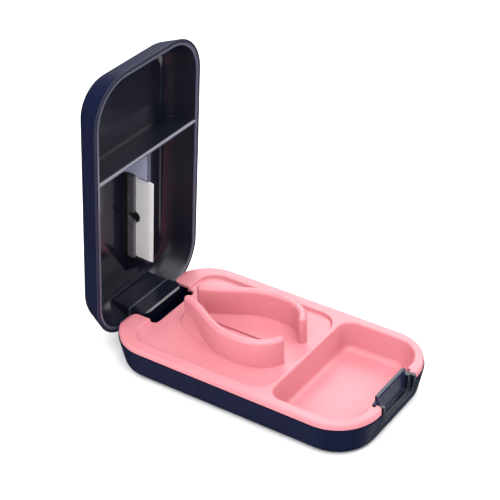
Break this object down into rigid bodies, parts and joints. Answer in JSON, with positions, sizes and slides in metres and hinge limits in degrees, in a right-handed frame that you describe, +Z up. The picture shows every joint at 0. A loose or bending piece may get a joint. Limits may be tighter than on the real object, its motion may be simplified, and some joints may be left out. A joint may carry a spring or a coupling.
{
  "type": "pill splitter",
  "caption": "Pocket pill splitter: hinged lid with a fixed steel blade over a tray with a V-shaped pill holder and a storage compartment.",
  "frame": {"origin": "middle of the flat underside of the base", "axes": "+X along the case from the hinge to the front catch, +Y across it to the far side, +Z up. The lid is stored open, as pictured"},
  "size_m": [0.1011, 0.0512, 0.0967],
  "materials": {
    "base_shell": "satin navy",
    "pill_tray": "satin pink",
    "front_catch": "glossy blue-black",
    "lid_cover": "soft matte navy",
    "lid_liner": "glossy blue-black",
    "cutting_blade": "ground and brushed",
    "blade_clamp": "glossy black",
    "hinge_pin": "drawn wire"
  },
  "bodies": {
    "base": {"base_shell": "base_shell", "pill_tray": "pill_tray", "front_catch": "front_catch", "hinge_pin": "hinge_pin"},
    "lid": {"lid_cover": "lid_cover", "lid_liner": "lid_liner", "cutting_blade": "cutting_blade", "blade_clamp": "blade_clamp"}
  },
  "joints": [
    {"name": "lid_hinge", "type": "hinge", "parent": "base", "child": "lid", "pos_m": [-0.0423, 0, 0.00905], "axis": [0, 1, 0], "range_deg": [0, 86]}
  ]
}
